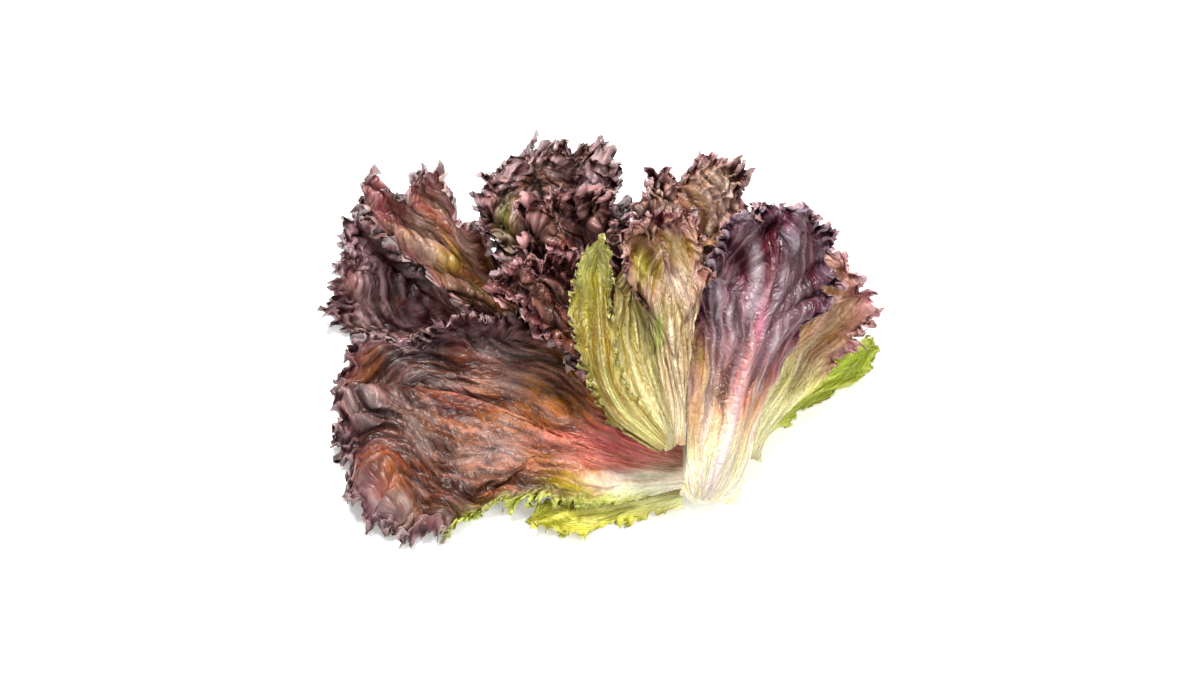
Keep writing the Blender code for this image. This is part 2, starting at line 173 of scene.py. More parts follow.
LEAVES_OVER_STEM = (
    Leaf(
        "leaf_heart_back", (-12, 36, 24), 10,
        ((-32, 47, 38), (-54, 71, 52), (-64, 90, 62)),
        ((-32, 36, 32), (-56, 54, 40), (-74, 72, 48), (-86, 88, 56), (-88, 103, 64), (-83, 114, 72)),
        (-69, 118, 78),
        ((-50, 115, 80), (-38, 101, 74), (-33, 82, 60), (-26, 60, 46), (-17, 46, 34)),
        (10.0, 8.0), 64, 29,
    ),
    Leaf(
        "leaf_heart_front", (-19, 29, 26), 9,
        ((-38, 34, 40), (-55, 49, 48), (-69, 65, 54)),
        (
            (-38, 24, 34), (-51, 33, 40), (-62, 47, 44), (-74, 58, 46),
            (-88, 66, 48), (-97, 72, 54), (-98, 83, 62),
        ),
        (-81, 87, 68),
        ((-62, 84, 68), (-50, 75, 62), (-43, 60, 54), (-30, 43, 42)),
        (10.0, 8.0), 64, 31,
    ),
    Leaf(
        "leaf_centre_top", (-10, 19, 30), 8,
        ((-10, 37, 46), (-11, 64, 66), (-10, 88, 84)),
        ((-15, 30, 40), (-20, 53, 56), (-28, 75, 74), (-34, 94, 86), (-31, 108, 94)),
        (-16, 115, 98),
        ((3, 120, 96), (18, 116, 90), (18, 106, 80), (8, 91, 70), (0, 68, 60), (-5, 42, 48)),
        (8.0, 7.0), 72, 43,
    ),
    Leaf(
        "leaf_right_large", (2, -18, 13), 28,
        ((7, 1, 32), (17, 34, 50), (27, 64, 64), (33, 83, 74)),
        ((-9, -6, 24), (-10, 23, 42), (-8, 50, 60), (-4, 70, 72), (6, 96, 82)),
        (30, 104, 88),
        ((52, 102, 80), (62, 93, 68), (55, 78, 54), (43, 56, 44), (31, 38, 36), (22, 15, 27)),
        (7.0, 6.5), 88, 23,
    ),
    Leaf(
        "leaf_centre_cupped", (-22, 15, 28), 8,
        ((-25, 19, 40), (-32, 35, 58), (-35, 55, 70)),
        ((-27, 9, 38), (-37, 12, 50), (-44, 23, 60), (-46, 41, 70), (-44, 61, 78)),
        (-36, 73, 84),
        ((-24, 71, 82), (-19, 55, 70), (-17, 37, 54), (-17, 21, 40)),
        (2.0, 2.0), 48, 37,
    ),
    Leaf(
        "leaf_centre_green", (-26, 12, 32), 9,
        ((-35, 16, 38), (-44, 23, 47), (-49, 38, 62), (-51, 62, 77)),
        ((-33, 8, 36), (-47, 12, 45), (-56, 26, 55), (-62, 43, 66), (-63, 57, 76), (-59, 72, 86)),
        (-51, 77, 94),
        ((-45, 67, 93), (-44, 51, 80), (-43, 36, 68), (-39, 26, 55), (-31, 21, 44)),
        (2.0, 2.0), 48, 41,
    ),
    Leaf(
        "leaf_centre_fan", (-17, 8, 38), 6,
        ((-14, 18, 52), (-17, 36, 72), (-19, 54, 86)),
        ((-19, 13, 46), (-22, 24, 58), (-26, 39, 70), (-32, 52, 82), (-37, 64, 92), (-39, 76, 100)),
        (-26, 84, 104),
        ((-10, 87, 102), (-1, 78, 95), (-2, 66, 86), (-5, 52, 75), (-8, 35, 65), (-12, 19, 52)),
        (7.0, 5.5), 64, 61,
    ),
)


def direction(heading):
    turn = math.radians(heading)
    return np.array([math.cos(turn), math.sin(turn), 0.0])


def smooth_curve(points, samples=96):
    """A Catmull-Rom curve through the points, evenly spaced along its length."""
    p = np.array(points, float)
    p = np.vstack([2 * p[0] - p[1], p, 2 * p[-1] - p[-2]])
    spans = len(p) - 3
    t = np.linspace(0, spans, samples * spans)
    i = np.minimum(t.astype(int), spans - 1)
    f = (t - i)[:, None]
    a, b, c, d = p[i], p[i + 1], p[i + 2], p[i + 3]
    curve = 0.5 * (
        2 * b
        + (c - a) * f
        + (2 * a - 5 * b + 4 * c - d) * f**2
        + (3 * b - a - 3 * c + d) * f**3
    )
    steps = np.linalg.norm(np.diff(curve, axis=0), axis=1)
    length = np.concatenate([[0], np.cumsum(steps)])
    even = np.linspace(0, length[-1], samples)
    return np.stack([np.interp(even, length, curve[:, k]) for k in range(3)], axis=1), length[-1]


def along(curve, share):
    """Points at these shares, 0 to 1, of an evenly spaced curve."""
    at = np.clip(share, 0, 1) * (len(curve) - 1)
    places = np.arange(len(curve))
    return np.stack([np.interp(at, places, curve[:, k]) for k in range(3)], axis=-1)


def unit(vectors):
    return vectors / np.maximum(np.linalg.norm(vectors, axis=-1, keepdims=True), 1e-9)


def smooth_step(x):
    x = np.clip(x, 0, 1)
    return x * x * (3 - 2 * x)


class Blade:
    """A leaf's middle surface. u runs along the margin, from -1 at the right of the foot, over the tip
    at 0, to 1 at the left of the foot. v runs along a vein, from 0 at the midrib to 1 at the margin."""

    def __init__(self, leaf):
        self.leaf = leaf
        foot = np.array(leaf.foot, float)
        ahead = np.array(leaf.midrib[0]) - foot
        side = unit(np.array([-ahead[1], ahead[0], 0.0])) * leaf.width / 2
        self.midrib, self.midrib_length = smooth_curve([foot, *leaf.midrib])
        self.left, self.left_length = smooth_curve([leaf.tip, *leaf.left[::-1], foot + side])
        self.right, self.right_length = smooth_curve([leaf.tip, *leaf.right, foot - side])

    def plain(self, u, v):
        """The blade without its waves, and how far the margin is from the midrib."""
        side = np.abs(u)
        rim = np.where((u > 0)[..., None], along(self.left, side), along(self.right, side))
        root = along(self.midrib, 1 - side)
        ahead = unit(along(self.midrib, 1.04 - side) - along(self.midrib, 0.96 - side))
        reach = np.linalg.norm(rim - root, axis=-1, keepdims=True)
        bend = (root + rim) / 2 + ahead * reach * VEIN_LEAN
        t = v[..., None]
        return (1 - t) ** 2 * root + 2 * t * (1 - t) * bend + t**2 * rim, reach[..., 0]

    def waved(self, u, v):
        """The blade with its frill."""
        here, reach = self.plain(u, v)
        step = 0.01
        after, _ = self.plain(np.minimum(u + step, 1), v)
        before, _ = self.plain(np.maximum(u - step, -1), v)
        inner, _ = self.plain(u, v - 0.03)
        outer, _ = self.plain(u, v + 0.03)
        across = unit(after - before)
        normal = unit(np.cross(unit(outer - inner), across))
        place = np.where(u > 0, u * self.left_length, u * self.right_length)
        inset = (1 - v) * reach
        fade = smooth_step((1 - np.abs(u)) / FRILL_START) * smooth_step(v * reach / 18)
        draw = np.random.default_rng(self.leaf.seed)
        moved = here
        for size, length, depth, sway in zip(self.leaf.frill, WAVE_LENGTHS, WAVE_DEPTHS, WAVE_SWAY):
            phase, drift = draw.uniform(0, 2 * math.pi, 2)
            turn = 2 * math.pi * place / length + phase
            turn = turn + 0.9 * np.sin(turn * 0.37 + drift)
            share = fade * np.exp(-((np.maximum(inset, 0) / depth) ** 1.5))
            share = share * np.minimum(1, reach / (FRILL_ROOM * size))
            share = share * (0.8 + 0.2 * np.sin(turn * 0.23))
            moved = moved + normal * (size * share * np.sin(turn))[..., None]
            moved = moved - across * (sway * length * share * np.sin(2 * turn) / 2)[..., None]
        return moved

    def toothed(self, u, v, tooth):
        """v with the margin's teeth."""
        _, reach = self.plain(u, v)
        return v + tooth * np.minimum(TOOTH / reach, TOOTH_SHARE) * smooth_step((1 - np.abs(u)) / 0.25)

    def thickness(self, u, v):
        """Thin at the margin, fleshy along the midrib and at the foot."""
        _, reach = self.plain(u, v)
        rib = np.exp(-((v * reach / RIB_HALF_WIDTH) ** 2)) * np.abs(u)
        return MARGIN_THICK + (RIB_THICK - MARGIN_THICK) * rib


def grid_of(columns, rows=ROWS):
    """A blade's points as u, v and tooth, which is 1 on a tooth and -1 between two, and its triangles:
    two halves that share the midrib and the tip's vein."""
    points, faces, index = [], [], {}
    counts = [columns // 2 // share for _, share in rows]

    def corner(row, place):
        key = (row, abs(place) if row == 0 else place)
        if key not in index:
            index[key] = len(points)
            at_margin = row == len(rows) - 1
            points.append((key[1] / counts[row], rows[row][0], at_margin * (-1) ** place))
        return index[key]

    def add(side, *corners):
        faces.append(corners if side > 0 else corners[::-1])

    for row, (inner, outer) in enumerate(zip(counts, counts[1:])):
        for side in (1, -1):
            for k in range(inner):
                a, b = corner(row, side * k), corner(row, side * (k + 1))
                if outer == inner:
                    d, c = corner(row + 1, side * k), corner(row + 1, side * (k + 1))
                    add(side, a, d, c)
                    add(side, a, c, b)
                else:
                    d, e, c = (corner(row + 1, side * (2 * k + n)) for n in range(3))
                    add(side, a, d, e)
                    add(side, a, e, b)
                    add(side, b, e, c)
    u, v, tooth = np.array(points).T
    return u, v, tooth, np.array(faces)


def blurred(field, passes):
    for _ in range(passes):
        padded = np.pad(field, 1, mode="edge")
        padded[1:-1, 0] = field[::-1, 1]
        around = padded[:-2, 1:-1] + padded[2:, 1:-1] + padded[1:-1, :-2] + padded[1:-1, 2:]
        field = (around + 2 * field) / 6
    return field


def widened(field, passes):
    for _ in range(passes):
        padded = np.pad(field, 1, mode="edge")
        field = np.maximum.reduce(
            [padded[:-2, 1:-1], padded[2:, 1:-1], padded[1:-1, :-2], padded[1:-1, 2:], field]
        )
    return field


def cells_of(points):
    i = ((points[..., 0] - GRID_LOW[0]) / CELL).astype(int)
    j = ((points[..., 1] - GRID_LOW[1]) / CELL).astype(int)
    return np.clip(i, 0, GRID_CELLS[0] - 1), np.clip(j, 0, GRID_CELLS[1] - 1)


def read_lift(lift, u, v):
    """The lift between the lattice's points."""
    x = (np.clip(u, -1, 1) + 1) / 2 * (LATTICE[0] - 1)
    y = np.clip(v, 0, 1) * (LATTICE[1] - 1)
    i = np.minimum(x.astype(int), LATTICE[0] - 2)
    j = np.minimum(y.astype(int), LATTICE[1] - 2)
    fx, fy = x - i, y - j
    return (
        lift[i, j] * (1 - fx) * (1 - fy)
        + lift[i + 1, j] * fx * (1 - fy)
        + lift[i, j + 1] * (1 - fx) * fy
        + lift[i + 1, j + 1] * fx * fy
    )


def raised(shape, lift):
    """The shape lifted, and drawn back towards the stem, because a leaf that climbs reaches less far."""
    return shape + lift[..., None] * np.array([0.0, -DRAWN_BACK, 1.0])


def shares_of_triangle(parts=6):
    """Even places within a triangle, as shares of its corners."""
    places = [(a, b, parts - a - b) for a in range(parts + 1) for b in range(parts + 1 - a)]
    return np.array(places) / parts


def settle(leaf, heights):
    """Lays the leaf on the pile. Gives its blade, its lift on the lattice, and its upper side's points."""
    blade = Blade(leaf)
    u, v, tooth, faces = grid_of(leaf.columns)
    v = blade.toothed(u, v, tooth)
    shape = blade.waved(u, v)
    half = blade.thickness(u, v) / 2
    shape[:, 2] = np.maximum(shape[:, 2], half)
    shares = shares_of_triangle()
    halves = np.einsum("sc,fc->fs", shares, half[faces])
    at_u = (np.einsum("sc,fc->fs", shares, u[faces]) + 1) / 2 * (LATTICE[0] - 1)
    at_v = np.einsum("sc,fc->fs", shares, v[faces]) * (LATTICE[1] - 1)
    at = (
        np.clip(np.rint(at_u).astype(int), 0, LATTICE[0] - 1).ravel(),
        np.clip(np.rint(at_v).astype(int), 0, LATTICE[1] - 1).ravel(),
    )
    ground = widened(heights, 1)
    lift = np.zeros(LATTICE)
    for _ in range(SETTLE_PASSES):
        spots = np.einsum("sc,fcx->fsx", shares, raised(shape, read_lift(lift, u, v))[faces])
        below = ground[cells_of(spots)]
        need = np.where(below > 0, below + GAP + halves - spots[..., 2], 0)
        if need.max() < SETTLED:
            break
        field = np.zeros(LATTICE)
        np.maximum.at(field, at, need.ravel())
        field[:, 0] = np.maximum(field[:, 0], field[::-1, 0])
        lift += blurred(widened(field, 2), 3)
    spots[..., 2] += halves
    return blade, lift, spots.reshape(-1, 3)


def stem_top():
    """The upper surface of the stem, as points."""
    ahead, side = direction(STEM_HEADING), direction(STEM_HEADING + 90)
    far = np.linspace(0, STEM_STATIONS[-1], STEM_SAMPLES)
    radius = np.interp(far, STEM_STATIONS, STEM_RADII)[:, None]
    across = np.linspace(-1, 1, STEM_SAMPLES)
    points = np.array(STEM_BUTT) + far[:, None, None] * ahead + (radius * across)[..., None] * side
    points[..., 2] += radius * np.sqrt(1 - across**2)
    return points.reshape(-1, 3)


def pile_up():
    """Each leaf's blade with its lift, laid one on another from the table up."""
    heights = np.zeros(GRID_CELLS)
    laid = []

    def cover(points):
        i, j = cells_of(points)
        np.maximum.at(heights, (i, j), points[:, 2])

    def lay(leaves):
        for leaf in leaves:
            blade, lift, spots = settle(leaf, heights)
            laid.append((leaf, blade, lift))
            cover(spots)

    lay(LEAVES_UNDER_STEM)
    cover(stem_top())
    lay(LEAVES_OVER_STEM)
    return laid


def in_row_frame(points):
    return (points - np.array([*HEAD_CENTRE, 0.0])) * MM


# The fine mesh's column pitch, and its zones: distance from the margin, share of the columns, row pitch
FINE = 0.5
ZONES = ((34.0, 4, 1.7), (15.0, 2, 1.05), (0.0, 1, 0.62))

# The veins fan out from a root behind the foot, and lean ahead
FAN_ROOT = 14.0
VEIN_AHEAD = 0.55
VEIN_ACROSS = 0.84

# Folds between the veins: knots for each vein, their length, noise number, height near the foot and what is
# added farther out, width and strength of the painted shade in their creases
FOLDS = (
    (0.9, 60, 3, 3.8, -2.4, 0.24, 1.0),
    (2.1, 32, 4, 1.9, 0.9, 0.2, 0.7),
    (4.6, 16, 5, 0.7, 0.8, 0.16, 0.4),
)
CRINKLE_RISE = 3.0

# How far from the foot a leaf is drawn to the stem, and its corners are rounded
FOOT_REACH = 38
CORNER_REACH = 16

# Orders of fine frill: share of the curl, the wave and the depth, how far each follows the one before, and
# noise number
CURL_WAVE = 7.6
CURLS = ((1.0, 1.0, 1.0, 0.0, 7), (0.5, 0.46, 0.6, 0.5, 11), (0.22, 0.2, 0.35, 0.5, 13))
PLEAT = 0.94
LOBE_DEPTH = 16
ROLL_DEPTH = 8
TOOTH_DEPTH = 5.0
TOOTH_SIZES = ((1.0, 1.0), (0.45, 0.38))

# The share of the frame's waves where a leaf has no frill, and its least heights before and after curling
CALM_SHARE = 0.2
CLEAR_BEFORE = 0.5
CLEAR_AFTER = 0.25

# The camera, and how it sees the head: the origin's pixel, and what height and depth look like
CAMERA_TARGET = (-49.7, 67.2, 30.0)
CAMERA_ELEVATION = 55.0
CAMERA_DISTANCE = 1.2
CAMERA_LENS = 76.0
CAMERA_SENSOR = 36.0
CAMERA_MIDDLE = (705.0, 490.0)
MM_PER_PIXEL = 0.4737
SEEN_DEPTH = 0.819
SEEN_HEIGHT = 0.574

# How bright each channel looks, how vivid the tissue and how strong its painted sheen are, and how a band
# fades
LUMA = np.array([0.3, 0.59, 0.11])
VIVID = 1.22
PAINTED_SHINE = 0.62
BAND_END = 0.06

# The fine stem: points around, rings, and ribs as number, turn and rise
STEM_AROUND = 96
STEM_RINGS = 60
CUT_RINGS = 12
STEM_RIBS = ((5, 0.6, 0.025), (13, 0.0, 0.012))

# Lights: name, size, power and place
LIGHTS = (("key", 0.55, 27.0, (-0.25, 0.45, 1.38)), ("fill", 0.9, 9.0, (0.8, -0.5, 1.1)))
LIGHT_AIM = (0.0, 0.0, 0.03)
WORLD_STRENGTH = 0.5
FLOOR_HALF = 3
FLOOR_DROP = 0.0005


def linear(text):
    """A colour from its six hexadecimal digits, as linear light."""
    value = np.array([int(text[k:k + 2], 16) for k in (0, 2, 4)]) / 255
    return np.where(value <= 0.04045, value / 12.92, ((value + 0.055) / 1.055) ** 2.4)


@dataclass
class Look:
    """How a leaf looks. A paint is a colour's six hexadecimal digits and its strength."""

    # Colours from the foot outwards, and the margin's colour and width
    ramp: tuple
    rim: tuple
    # The veins' paint, the degrees between them, and their ribs' height and reach
    vein: tuple
    vein_turn: float = 8.0
    ribs: tuple = (1.6, 50.0)
    patch: tuple = ("8a4a22", 0.5)
    patch_from: float = 0.15
    flush: tuple = ("5c1c24", 0.0)
    # Painted shade: the colour in the creases, and in the frill's hollows and the crinkles' pits
    crease_shade: str = "3a1014"
    deep_shade: str = "240810"
    # The frill's size and depth, where it fades in, its lobes, and its teeth's height and pitch
    curl: tuple = (4.0, 13.0)
    frilled: tuple = (0.0, 0.3)
    lobes: float = 3.0
    teeth: tuple = (4.2, 4.2)
    # Folds, how much more of them the left side has, and crinkles
    wrinkle: float = 1.0
    fold_gain: float = 0.0
    crinkle: float = 0.0
    # The painted sheen on bulges, crests and crinkles, and the painted highlight along the pale edge
    painted_sheen: tuple = ("b08c96", 1.0)
    edge: str = "d0a8a8"
    rough: float = 0.3
    rounded: float = 0.0
    drawn: tuple = (0.0, 0.0, 0.0)
    # Bands: side, start, stop, colour, width. Spots, in the pixels where they are seen: x, y, width, height,
    # colour, strength
    side: tuple = ()
    spots: tuple = ()


DEEP_FRILL = dict(curl=(4.4, 34.0), frilled=(0.0, 0.15), lobes=5.0, wrinkle=1.2)

LOOKS = {
    "leaf_left_large": Look(
        ramp=(
            (0.0, "fbf3dc"), (0.06, "f2b8a4"), (0.16, "c07064"), (0.3, "9c643c"), (0.5, "7c4026"),
            (0.78, "602426"), (1.0, "54283a"),
        ),
        rim=("64404c", 9.0), vein=("d89884", 0.6), patch=("b06c28", 0.6), flush=("4c1410", 0.5),
        crease_shade="200808", deep_shade="2c0c10", curl=(3.2, 15.0), lobes=4.0, teeth=(5.5, 4.2), wrinkle=1.3,
        fold_gain=1.0, crinkle=0.5, painted_sheen=("b0a09c", 1.0), edge="b8a09c", rough=0.36,
        drawn=(15.0, 2.0, 4.0),
        side=((1, 0.84, 1.0, "fdfae0", 16.0), (1, 0.5, 0.97, "b8bc70", 7.0)),
        spots=(
            # The two dark spots at the top are painted shade in the upper folds
            (455, 338, 100, 20, "2a060e", 0.92), (410, 350, 40, 18, "10040a", 0.92),
            (575, 482, 40, 16, "a89a20", 0.85), (500, 505, 80, 10, "a08830", 0.7),
            # The orange spots at (580, 365) and (630, 400) are the tissue's orange-tan, made brighter as
            # painted light where the leaves above shade it
            (590, 436, 60, 16, "e07c78", 0.75), (580, 365, 54, 46, "d8924a", 0.9),
            (630, 400, 30, 24, "d88c48", 0.85), (620, 450, 60, 14, "e87c84", 0.6),
            (650, 480, 60, 16, "fefce8", 0.98), (412, 525, 30, 10, "948048", 0.7),
        ),
    ),
    "leaf_left_lowest": Look(
        ramp=((0.0, "fbf8cc"), (0.3, "efe8a0"), (1.0, "d0c870")), rim=("ccc868", 5.0), vein=("eeeeb0", 0.6),
        patch=("b4a83c", 0.5), crease_shade="a7a83a", deep_shade="a09c38", curl=(2.4, 8.0), lobes=2.0, teeth=(4.4, 4.5),
        wrinkle=0.6, painted_sheen=("e8ec9a", 0.6), edge="d0cc78", drawn=(7.0, 0.0, 1.0),
    ),
    "leaf_right_green": Look(
        ramp=((0.0, "fbf8cc"), (0.35, "f4efa4"), (0.6, "ccc878"), (1.0, "b4b86c")),
        rim=("c0c470", 5.0), vein=("dbe58c", 0.6), vein_turn=7.0, patch=("b0c848", 0.4), crease_shade="7d9a24",
        deep_shade="7c8c24", curl=(1.4, 7.0), lobes=1.6, teeth=(3.0, 4.6), wrinkle=0.7, painted_sheen=("e8ec9a", 0.6),
        edge="ccd088", drawn=(-8.0, 3.0, 1.0),
    ),
    "leaf_back_dark": Look(
        ramp=((0.0, "8a5a34"), (0.4, "5c1824"), (0.7, "783040"), (1.0, "8c5460")),
        rim=("7c5c60", 12.0), vein=("b08c88", 0.6), patch=("a4743c", 0.75), flush=("50141c", 0.6),
        crease_shade="200a10", deep_shade="2c060e", curl=(4.0, 32.0), frilled=(0.0, 0.2), teeth=(5.0, 4.2), wrinkle=1.4,
        crinkle=1.5, painted_sheen=("ccacb0", 1.0), edge="b8acac",
        spots=(
            # The dark spot at (418, 272) is painted shade in a hollow of the leaf
            (418, 272, 50, 26, "26060f", 0.95), (352, 326, 18, 8, "8c8858", 0.7),
            (372, 300, 26, 10, "a0682c", 0.6), (345, 290, 16, 8, "a06c34", 0.5),
        ),
    ),
    "leaf_back_rolled": Look(
        ramp=((0.0, "98902c"), (0.35, "9c7030"), (0.6, "a06448"), (0.8, "945058"), (1.0, "8c606c")),
        rim=("8c6468", 9.0), vein=("b09a58", 0.6), patch=("a8602c", 0.45), flush=("6c2a2c", 0.45),
        crease_shade="58301c", curl=(3.6, 13.0), lobes=5.0, teeth=(5.6, 6.0), crinkle=0.5, painted_sheen=("d0b4ac", 1.0),
        edge="bcb0ac",
        spots=(
            (418, 232, 26, 22, "bcac88", 0.5), (445, 262, 22, 20, "8c7c24", 0.7),
            (470, 290, 16, 14, "708020", 0.6), (400, 215, 20, 12, "8c4c58", 0.6),
        ),
    ),
    "leaf_right_spread": Look(
        ramp=(
            (0.0, "fbf8d0"), (0.36, "f4eeb0"), (0.5, "e4d898"), (0.62, "cc9c74"), (0.78, "c0887c"),
            (1.0, "bc8c90"),
        ),
        rim=("b07c84", 6.0), vein=("efe4bc", 0.7), vein_turn=6.0, patch=("ac7c44", 0.5), patch_from=0.55,
        flush=("8c4440", 0.35), crease_shade="7c5a34", deep_shade="3c1418", curl=(2.6, 11.0), frilled=(0.52, 0.74),
        lobes=4.0, teeth=(6.5, 7.0), wrinkle=0.9, painted_sheen=("dcc4b8", 1.0),
        spots=(
            (835, 320, 26, 14, "c49c80", 0.6), (800, 385, 24, 14, "e0dc90", 0.8),
            (775, 420, 24, 20, "f8f4c0", 0.8), (812, 350, 24, 12, "8c4438", 0.4),
        ),
    ),
    "leaf_top_back": Look(
        ramp=((0.0, "a8983c"), (0.4, "94643c"), (0.7, "8c484c"), (1.0, "885c68")),
        **DEEP_FRILL, rim=("84666a", 12.0), vein=("b89c84", 0.6), patch=("b8903c", 0.8),
        flush=("4c1418", 0.55), crease_shade="200810", deep_shade="30080f", teeth=(5.6, 5.0), crinkle=1.6,
        painted_sheen=("ccb0b4", 1.0), edge="bcb0b0",
        spots=(
            (505, 232, 12, 44, "a8b040", 0.85), (545, 205, 34, 14, "b48848", 0.6),
            (530, 240, 16, 20, "8c8434", 0.6), (590, 180, 20, 20, "84606c", 0.5),
        ),
    ),
    "leaf_right_large": Look(
        ramp=(
            (0.0, "efe6bc"), (0.2, "f2e4b8"), (0.34, "e4b48c"), (0.5, "a85c50"), (0.66, "60303a"),
            (1.0, "3c2430"),
        ),
        rim=("4a2c3c", 9.0), vein=("d8c4c8", 0.6), vein_turn=9.0, patch=("8c3a40", 0.5), patch_from=0.4,
        flush=("701c34", 0.4), crease_shade="38101c", deep_shade="1c0614", curl=(3.6, 15.0), frilled=(0.42, 0.68),
        lobes=4.0, teeth=(5.0, 4.2), wrinkle=1.1, painted_sheen=("c0b6be", 1.0), rough=0.28, rounded=6.0,
        drawn=(-4.0, 6.0, 0.0),
        spots=(
            # The pale lilac strips at (712, 300) and (752, 272) are a painted sheen
            (735, 215, 44, 26, "1a0a16", 0.92), (712, 300, 8, 36, "c8bac2", 0.75),
            (752, 272, 9, 42, "d0c2c8", 0.75), (716, 474, 30, 30, "f0e8c4", 0.9),
            (704, 400, 10, 50, "e4cca8", 0.7), (735, 385, 14, 44, "cc7070", 0.6),
            (772, 280, 10, 36, "641c30", 0.7), (790, 240, 16, 16, "685864", 0.6),
            (731, 300, 8, 34, "34101e", 0.75), (694, 350, 12, 30, "a89858", 0.6),
            (757, 330, 6, 40, "b8507c", 0.5), (700, 330, 10, 20, "7c3430", 0.6),
        ),
    ),
    "leaf_heart_back": Look(
        ramp=((0.0, "94903c"), (0.4, "845030"), (0.7, "84343c"), (1.0, "783c48")),
        **DEEP_FRILL, rim=("704448", 13.0), vein=("a88470", 0.6), patch=("8c7c30", 0.7),
        flush=("44100f", 0.55), crease_shade="1c060c", deep_shade="2c0810", teeth=(5.4, 5.0), crinkle=1.8,
        painted_sheen=("c8a0a0", 1.0),
        spots=((545, 290, 16, 16, "8c8c30", 0.6), (520, 270, 12, 16, "98923c", 0.5)),
    ),
    "leaf_heart_front": Look(
        ramp=((0.0, "90702c"), (0.35, "8c4828"), (0.65, "7c2c2c"), (1.0, "6c2c34")),
        **DEEP_FRILL, rim=("6c3c40", 13.0), vein=("a07c64", 0.6), patch=("7c6a2c", 0.6),
        flush=("3c0c0c", 0.5), crease_shade="1c060a", deep_shade="28080c", teeth=(5.4, 5.0), crinkle=1.8,
        painted_sheen=("c09490", 0.6),
    ),
    "leaf_centre_cupped": Look(
        ramp=((0.0, "d8c090"), (0.3, "c0a874"), (0.6, "a48c54"), (0.85, "704c30"), (1.0, "3c2018")),
        rim=("a5824c", 1.5), vein=("efe6b8", 0.9), vein_turn=5.0, ribs=(2.2, 400.0), patch=("9a9040", 0.4),
        crease_shade="6c6428", deep_shade="6c6428", curl=(0.6, 5.0), lobes=0.5, teeth=(0.5, 4.2), wrinkle=0.8,
        painted_sheen=("f0ecb4", 0.6), edge="c8a468", drawn=(5.0, -5.0, -3.0),
    ),
    "leaf_centre_green": Look(
        ramp=((0.0, "84542c"), (0.3, "785028"), (0.55, "806038"), (0.8, "908448"), (1.0, "b0b484")),
        rim=("b0a870", 2.0), vein=("dfe0a0", 0.5), vein_turn=7.0, ribs=(0.0, 50.0), patch=("a08838", 0.4),
        crease_shade="7c8a2c", deep_shade="6c6820", curl=(1.0, 6.0), lobes=1.0, teeth=(3.6, 4.4), wrinkle=0.25,
        painted_sheen=("d8d498", 0.4), edge="b8b47c", drawn=(6.0, -5.0, -3.0),
    ),
    "leaf_centre_fan": Look(
        ramp=(
            (0.0, "b08854"), (0.3, "98744c"), (0.5, "9c7c70"), (0.62, "94686c"), (0.74, "64202c"),
            (1.0, "50161e"),
        ),
        rim=("6c1c24", 9.0), vein=("eee0c0", 0.9), vein_turn=5.0, ribs=(0.4, 200.0), patch=("9c8c3c", 0.35),
        flush=("b8a848", 0.4), crease_shade="7c5a34", deep_shade="380a10", curl=(4.0, 19.0), frilled=(0.5, 0.66),
        lobes=4.0, teeth=(5.4, 5.0), wrinkle=0.0, crinkle=0.8, painted_sheen=("d0b0a0", 1.0),
        drawn=(4.0, -5.0, -2.0),
        spots=(
            (656, 330, 7, 26, "98b038", 0.8), (640, 270, 10, 20, "b8b850", 0.6),
            # The pale spot at (675, 285) is a painted highlight
            (662, 222, 50, 24, "541824", 0.95), (675, 285, 16, 20, "ccb8a8", 0.6),
        ),
    ),
    "leaf_centre_top": Look(
        ramp=((0.0, "c0a068"), (0.4, "ac8c58"), (0.7, "ac8058"), (0.85, "a86c68"), (1.0, "a4747c")),
        rim=("8c6468", 8.0), vein=("c0a870", 0.5), vein_turn=5.0, patch=("a08c40", 0.5),
        flush=("6c2c34", 0.5), crease_shade="50301c", deep_shade="34141a", curl=(4.2, 30.0), frilled=(0.1, 0.4),
        lobes=5.0, teeth=(5.6, 5.0), wrinkle=0.8, crinkle=1.2, painted_sheen=("e0ccc4", 1.0),
        spots=(
            (640, 222, 20, 14, "5c1824", 0.9), (700, 195, 30, 16, "a07c70", 0.6),
            (720, 180, 16, 12, "c4a86c", 0.6), (690, 222, 20, 14, "642434", 0.8),
            (625, 250, 14, 20, "742c2c", 0.7),
        ),
    ),
}


def hashed(i, j, seed):
    """An even number between 0 and 1 for each pair of whole numbers."""
    n = (i * 374761393 + j * 668265263 + seed * 974634777) & 0xFFFFFFFF
    n = ((n ^ (n >> 13)) * 1274126177) & 0xFFFFFFFF
    return ((n ^ (n >> 16)) & 0xFFFFFF) / 0xFFFFFF


def noise(x, y, seed):
    """Smooth noise between -1 and 1, with features one unit wide."""
    i, j = np.floor(x).astype(np.int64), np.floor(y).astype(np.int64)
    fx, fy = x - i, y - j

    def corner(a, b):
        turn = hashed(i + a, j + b, seed) * 2 * math.pi
        return np.cos(turn) * (fx - a) + np.sin(turn) * (fy - b)

    sx, sy = smooth_step(fx), smooth_step(fy)
    low = corner(0, 0) * (1 - sx) + corner(1, 0) * sx
    high = corner(0, 1) * (1 - sx) + corner(1, 1) * sx
    return 1.5 * (low * (1 - sy) + high * sy)


def layered(x, y, seed, octaves=3):
    """Noise with finer noise laid over it."""
    total, size = 0.0, 1.0
    for k in range(octaves):
        total = total + size * noise(x * 2**k, y * 2**k, seed + 17 * k)
        size *= 0.5
    return total / 1.6


def ease(x, start, width):
    """0 up to the start, 1 from a width beyond it, and smooth between."""
    return smooth_step((x - start) / width)


def bell(x, width, power=2):
    return np.exp(-((x / width) ** power))


